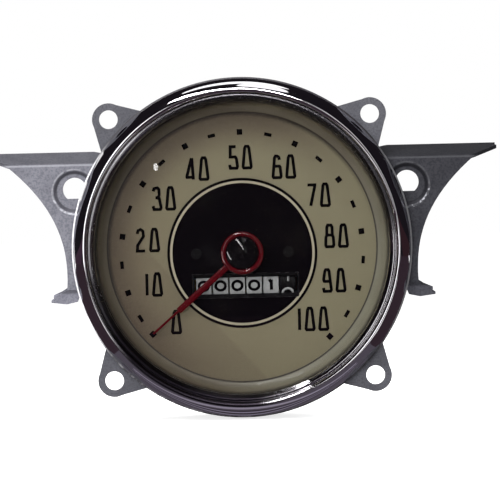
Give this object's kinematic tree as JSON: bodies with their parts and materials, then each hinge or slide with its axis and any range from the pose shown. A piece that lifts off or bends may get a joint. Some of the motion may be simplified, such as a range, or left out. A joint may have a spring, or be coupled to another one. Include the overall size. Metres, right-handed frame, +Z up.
{
  "type": "dashboard speedometer",
  "caption": "Round dashboard speedometer with a chrome bezel, khaki dial, red pointer and drum odometer, on an eared mounting plate with two winged brackets.",
  "frame": {"origin": "centre of the four ear holes, on the front face of the mounting plate", "axes": "+X to the right of someone reading the dial, +Y to the rear, +Z up"},
  "size_m": [0.1924, 0.077, 0.127],
  "materials": {
    "plate_grey": "dull zinc",
    "case_black": "satin black paint",
    "bezel_chrome": "polished plating",
    "glass_clear": "clear",
    "gasket_rubber": "matt",
    "rim_cream": "satin cream paint",
    "dial_khaki": "satin khaki paint",
    "print_black": "black ink",
    "window_grey": "grey paint",
    "brass": "turned",
    "frame_cast": "die cast",
    "steel": "bright",
    "iron": "dark",
    "bulb_glass": "clear",
    "pointer_red": "dark red paint",
    "cap_black": "gloss",
    "cup_aluminium": "spun",
    "fibre_brown": "pressed fibre",
    "drum_black": "satin black",
    "drum_white": "satin white"
  },
  "bodies": {
    "housing": {"mounting_plate": "plate_grey", "left_wing": "plate_grey", "right_wing": "plate_grey", "wing_rivets": "plate_grey", "case_can": "case_black", "bezel": "bezel_chrome", "glass": "glass_clear", "glass_gasket": "gasket_rubber", "dial_rim": "rim_cream", "dial": "dial_khaki", "dial_print": "print_black", "window_frame": "window_grey", "dial_screws": "print_black", "dial_posts": "brass", "front_plate": "frame_cast", "front_plate_screws": "steel", "movement_frame": "frame_cast", "cable_stem": "frame_cast", "frame_screws": "steel", "staff_bush": "brass", "drive_bush": "brass", "field_ring": "iron", "hairspring": "steel", "hairspring_stud": "brass", "stop_pin": "steel", "odometer_axle": "steel", "axle_spacers": "brass", "pinion_carriers": "steel", "carrier_rod": "steel", "lamp_sockets": "brass", "lamp_bulbs": "bulb_glass"},
    "needle": {"pointer": "pointer_red", "hub_cap": "cap_black", "staff": "steel", "hairspring_collet": "brass", "speed_cup": "cup_aluminium", "stop_sector": "steel"},
    "drive": {"drive_shaft": "steel", "ring_magnet": "iron", "drive_collar": "steel"},
    "first": {"first_shaft": "steel", "first_wheel": "fibre_brown"},
    "second": {"second_shaft": "steel", "second_wheel": "fibre_brown"},
    "tenths": {"tenths_drum": "drum_black", "odometer_gear": "fibre_brown"},
    "drum_1": {"number_drum_1": "drum_white"},
    "pinion_1": {"transfer_pinion_1": "brass"},
    "drum_2": {"number_drum_2": "drum_white"},
    "pinion_2": {"transfer_pinion_2": "brass"},
    "drum_3": {"number_drum_3": "drum_white"},
    "pinion_3": {"transfer_pinion_3": "brass"},
    "drum_4": {"number_drum_4": "drum_white"},
    "pinion_4": {"transfer_pinion_4": "brass"},
    "drum_5": {"number_drum_5": "drum_white"},
    "pinion_5": {"transfer_pinion_5": "brass"}
  },
  "joints": [
    {"name": "needle_swing", "type": "hinge", "parent": "housing", "child": "needle", "pos_m": [0, 0.01, -0.0022], "axis": [0, 1, 0], "range_deg": [0, 270], "stiffness_Nm_per_rad": 0.00002, "springref_deg": -28.65, "deforming": ["hairspring"]},
    {"name": "drive_spin", "type": "hinge", "parent": "housing", "child": "drive", "pos_m": [0, 0.045, -0.0022], "axis": [0, 1, 0], "continuous": true},
    {"name": "first_spin", "type": "hinge", "parent": "housing", "child": "first", "pos_m": [0, 0.0425, -0.0098], "axis": [1, 0, 0], "continuous": true},
    {"name": "second_spin", "type": "hinge", "parent": "housing", "child": "second", "pos_m": [0.02425, 0.03, -0.0022], "axis": [0, 1, 0], "continuous": true},
    {"name": "tenths_spin", "type": "hinge", "parent": "housing", "child": "tenths", "pos_m": [0.02425, 0.0171, -0.0144], "axis": [1, 0, 0], "continuous": true},
    {"name": "drum_5_spin", "type": "hinge", "parent": "housing", "child": "drum_5", "pos_m": [0.0104, 0.0171, -0.0144], "axis": [1, 0, 0], "continuous": true},
    {"name": "pinion_5_spin", "type": "hinge", "parent": "housing", "child": "pinion_5", "pos_m": [0.01358, 0.0227, -0.0144], "axis": [1, 0, 0], "continuous": true},
    {"name": "drum_4_spin", "type": "hinge", "parent": "housing", "child": "drum_4", "pos_m": [0.0041, 0.0171, -0.0144], "axis": [1, 0, 0], "continuous": true},
    {"name": "pinion_4_spin", "type": "hinge", "parent": "housing", "child": "pinion_4", "pos_m": [0.00728, 0.0227, -0.0144], "axis": [1, 0, 0], "continuous": true},
    {"name": "drum_3_spin", "type": "hinge", "parent": "housing", "child": "drum_3", "pos_m": [-0.0022, 0.0171, -0.0144], "axis": [1, 0, 0], "continuous": true},
    {"name": "pinion_3_spin", "type": "hinge", "parent": "housing", "child": "pinion_3", "pos_m": [0.00097, 0.0227, -0.0144], "axis": [1, 0, 0], "continuous": true},
    {"name": "drum_2_spin", "type": "hinge", "parent": "housing", "child": "drum_2", "pos_m": [-0.0085, 0.0171, -0.0144], "axis": [1, 0, 0], "continuous": true},
    {"name": "pinion_2_spin", "type": "hinge", "parent": "housing", "child": "pinion_2", "pos_m": [-0.00532, 0.0227, -0.0144], "axis": [1, 0, 0], "continuous": true},
    {"name": "drum_1_spin", "type": "hinge", "parent": "housing", "child": "drum_1", "pos_m": [-0.0148, 0.0171, -0.0144], "axis": [1, 0, 0], "continuous": true},
    {"name": "pinion_1_spin", "type": "hinge", "parent": "housing", "child": "pinion_1", "pos_m": [-0.01162, 0.0227, -0.0144], "axis": [1, 0, 0], "continuous": true}
  ],
  "couplings": [
    {"joint": "first_spin", "follows": "drive_spin", "ratio": 0.1},
    {"joint": "second_spin", "follows": "drive_spin", "ratio": 0.01},
    {"joint": "tenths_spin", "follows": "drive_spin", "ratio": 0.001},
    {"joint": "drum_5_spin", "follows": "drive_spin", "ratio": 0.0001},
    {"joint": "pinion_5_spin", "follows": "drive_spin", "ratio": 0.00033333},
    {"joint": "drum_4_spin", "follows": "drive_spin", "ratio": 0.00001},
    {"joint": "pinion_4_spin", "follows": "drive_spin", "ratio": 0.000033333},
    {"joint": "drum_3_spin", "follows": "drive_spin", "ratio": 0.000001},
    {"joint": "pinion_3_spin", "follows": "drive_spin", "ratio": 0.0000033333},
    {"joint": "drum_2_spin", "follows": "drive_spin", "ratio": 0.0000001},
    {"joint": "pinion_2_spin", "follows": "drive_spin", "ratio": 0.00000033333},
    {"joint": "drum_1_spin", "follows": "drive_spin", "ratio": 0.00000001},
    {"joint": "pinion_1_spin", "follows": "drive_spin", "ratio": 0.000000033333}
  ]
}
